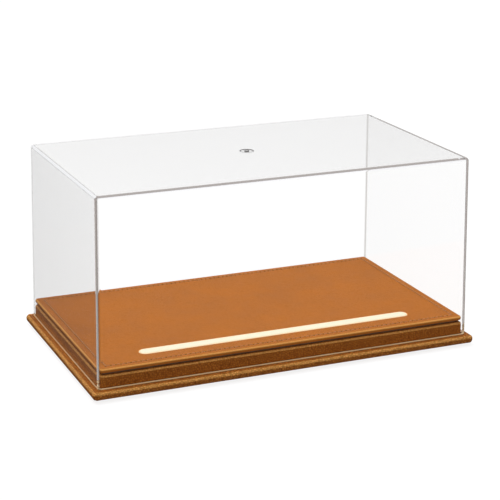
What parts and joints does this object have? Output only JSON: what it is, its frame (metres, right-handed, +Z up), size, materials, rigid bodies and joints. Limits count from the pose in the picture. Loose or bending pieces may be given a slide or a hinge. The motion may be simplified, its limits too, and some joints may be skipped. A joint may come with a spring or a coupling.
{
  "type": "model car display case",
  "caption": "Clear moulded cover over a leather-covered stepped base with a lit bar in its deck, for showing a model car.",
  "frame": {"origin": "centre of the case's footprint, on the surface that its feet stand on", "axes": "+X along the case to the right as seen from its front, +Y to its back, +Z up"},
  "size_m": [0.33, 0.193, 0.1599],
  "materials": {
    "acrylic": "clear, polished",
    "leather": "grained tan leather, satin",
    "board": "bare fibreboard",
    "lens": "opal, lit from below",
    "channel": "extruded, satin",
    "circuit": "white coated strip",
    "chip": "phosphor window",
    "resistor": "matt",
    "lining": "short felt",
    "foot": "matt",
    "box": "moulded, fine texture",
    "cell": "plain wrapped can",
    "contact": "nickel plated",
    "switch_can": "zinc plated",
    "switch_knob": "moulded",
    "terminal": "tinned",
    "wire_red": "sleeved wire",
    "wire_black": "sleeved wire",
    "screw": "zinc plated"
  },
  "bodies": {
    "base": {"plinth_board": "board", "plinth_leather": "leather", "riser_board": "board", "riser_leather": "leather", "deck_board": "board", "deck_leather": "leather", "led_diffuser": "lens", "led_channel": "channel", "led_circuit": "circuit", "led_chips": "chip", "led_resistors": "resistor", "base_lining": "lining", "foot_front_left": "foot", "foot_front_right": "foot", "foot_back_left": "foot", "foot_back_right": "foot", "battery_box": "box", "battery_cell_1": "cell", "battery_cell_2": "cell", "battery_cell_3": "cell", "contact_negative": "contact", "contact_link_left": "contact", "contact_link_right": "contact", "contact_positive": "contact", "switch_body": "switch_can", "switch_terminals": "terminal", "wire_red": "wire_red", "wire_black": "wire_black", "wire_link": "wire_red", "base_screws": "screw", "battery_box_screws": "screw", "switch_screws": "screw"},
    "cover": {"cover": "acrylic"},
    "battery_door": {"battery_door": "box"},
    "switch_slider": {"switch_slider": "switch_knob"}
  },
  "joints": [
    {"name": "cover_lift", "type": "slide", "parent": "base", "child": "cover", "axis": [0, 0, 1], "range_m": [0, 0.16]},
    {"name": "battery_door_hinge", "type": "hinge", "parent": "base", "child": "battery_door", "pos_m": [-0.02395, 0.025, 0.0024], "axis": [0, 1, 0], "range_deg": [0, 75]},
    {"name": "power_switch", "type": "slide", "parent": "base", "child": "switch_slider", "axis": [1, 0, 0], "range_m": [0, 0.0025]}
  ]
}
